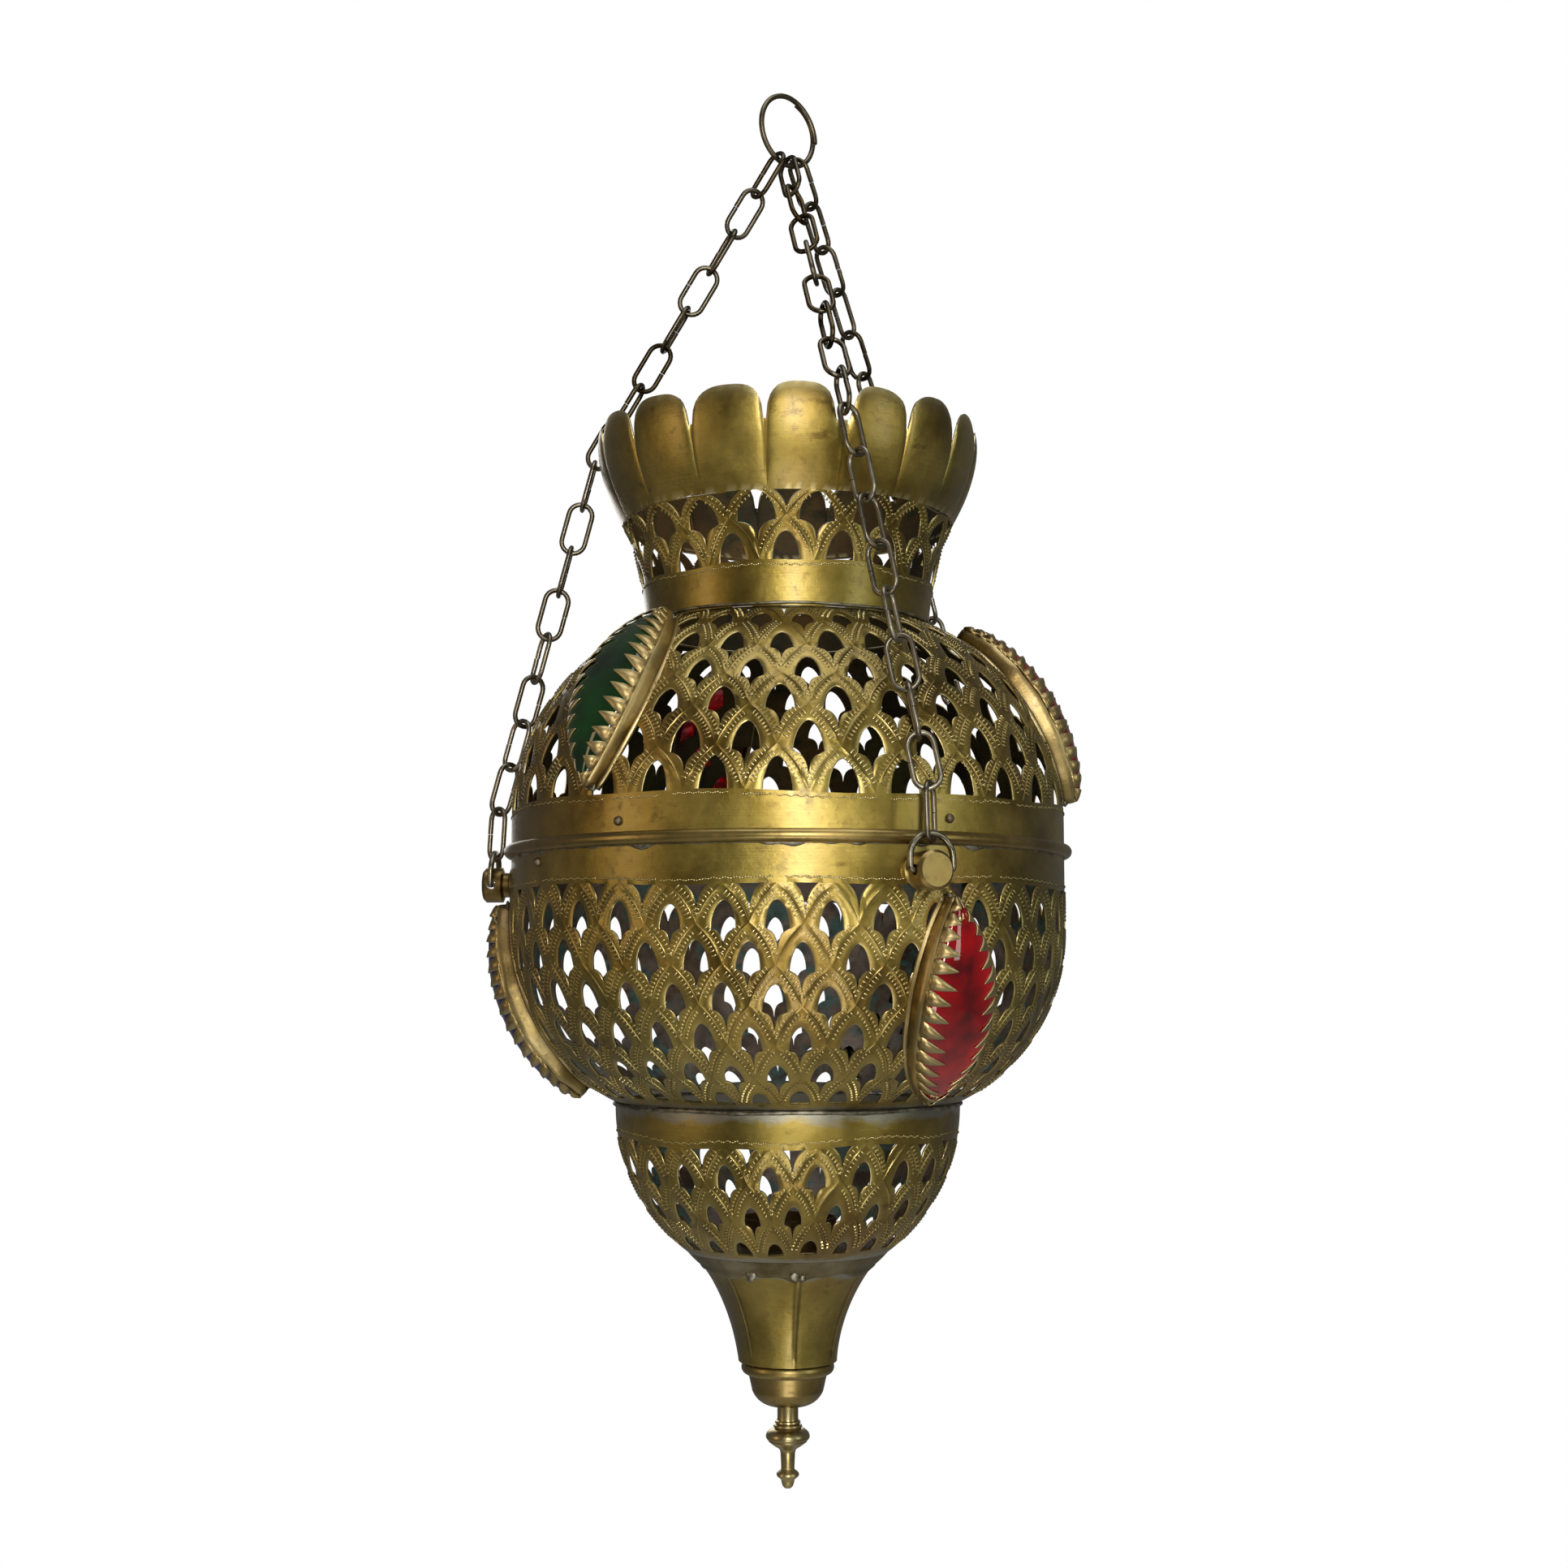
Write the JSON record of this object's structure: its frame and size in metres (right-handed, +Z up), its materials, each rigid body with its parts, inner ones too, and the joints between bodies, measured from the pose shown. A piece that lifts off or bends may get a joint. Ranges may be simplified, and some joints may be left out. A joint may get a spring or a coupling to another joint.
{
  "type": "hanging lantern",
  "caption": "Hanging candle lantern: pierced brass crown, dome, bowl and cup with glass jewels, hung from chains on a split ring.",
  "frame": {"origin": "hook seat, the inside of the top of the suspension ring; the lantern hangs below it", "axes": "+Z up along the axis of the lantern body; -Y is the front"},
  "size_m": [0.2584, 0.2437, 0.6067],
  "materials": {
    "sheet_brass": "aged, brushed and patinated",
    "turned_brass": "aged turned brass, dull satin",
    "bezel_brass": "aged thin brass with cut teeth",
    "inner_brass": "sooted brass",
    "tin_solder": "dull grey tin solder",
    "chain_steel": "worn brass-washed wire",
    "bail_steel": "worn plated wire",
    "ring_steel": "worn brass-washed wire",
    "nut_steel": "dull",
    "glass_red": "clear deep red",
    "glass_green": "clear deep green",
    "glass_blue": "clear deep blue"
  },
  "bodies": {
    "suspension_ring": {"suspension_ring": "ring_steel"},
    "lantern": {"band_rivets": "sheet_brass", "base_cap": "turned_brass", "bowl_bezel_back": "bezel_brass", "bowl_bezel_left": "bezel_brass", "bowl_bezel_right": "bezel_brass", "bowl_glass_back": "glass_green", "bowl_glass_left": "glass_blue", "bowl_glass_right": "glass_red", "bowl_solder": "tin_solder", "candle_cup": "inner_brass", "candle_plate": "inner_brass", "cone_collar": "tin_solder", "crown": "sheet_brass", "dome_bezel_back": "bezel_brass", "dome_bezel_left": "bezel_brass", "dome_bezel_right": "bezel_brass", "dome_glass_back": "glass_red", "dome_glass_left": "glass_green", "dome_glass_right": "glass_red", "equator_bead": "sheet_brass", "finial": "turned_brass", "finial_nut": "nut_steel", "fluted_cone": "sheet_brass", "lower_bowl": "sheet_brass", "lower_cup": "sheet_brass", "neck_solder": "tin_solder", "roll_bead": "turned_brass", "stud_back": "turned_brass", "stud_front": "turned_brass", "stud_left": "turned_brass", "stud_nuts": "nut_steel", "upper_dome": "sheet_brass"},
    "chain_left": {"chain_left_upper": "chain_steel", "chain_left_lower": "chain_steel"},
    "bail_left": {"bail_left": "bail_steel"},
    "chain_front": {"chain_front_upper": "chain_steel", "chain_front_lower": "chain_steel"},
    "bail_front": {"bail_front": "bail_steel"},
    "chain_back": {"chain_back_upper": "chain_steel", "chain_back_lower": "chain_steel"},
    "bail_back": {"bail_back": "bail_steel"}
  },
  "joints": [
    {"name": "lantern_swing", "type": "hinge", "parent": "suspension_ring", "child": "lantern", "pos_m": [0, 0, -0.0302], "axis": [0.7314, 0.682, 0], "range_deg": [-18, 18]},
    {"name": "chain_left_rock", "type": "hinge", "parent": "lantern", "child": "chain_left", "pos_m": [-0.12762, 0.00669, -0.3508], "axis": [0.3574, -0.0313, 0.9334], "range_deg": [-2, 2]},
    {"name": "bail_left_swing", "type": "hinge", "parent": "lantern", "child": "bail_left", "pos_m": [-0.12762, 0.00669, -0.3508], "axis": [-0.0523, -0.9986, 0], "range_deg": [-1.5, 1.5]},
    {"name": "chain_front_rock", "type": "hinge", "parent": "lantern", "child": "chain_front", "pos_m": [0.05401, -0.11583, -0.3508], "axis": [-0.1574, 0.3348, 0.929], "range_deg": [-2, 2]},
    {"name": "bail_front_swing", "type": "hinge", "parent": "lantern", "child": "bail_front", "pos_m": [0.05401, -0.11583, -0.3508], "axis": [0.9063, 0.4226, 0], "range_deg": [-1.5, 1.5]},
    {"name": "chain_back_rock", "type": "hinge", "parent": "lantern", "child": "chain_back", "pos_m": [0.09497, 0.08551, -0.3508], "axis": [-0.2632, -0.2366, 0.9353], "range_deg": [-2, 0.8]},
    {"name": "bail_back_swing", "type": "hinge", "parent": "lantern", "child": "bail_back", "pos_m": [0.09497, 0.08551, -0.3508], "axis": [-0.6691, 0.7431, 0], "range_deg": [-1.5, 1.5]}
  ]
}
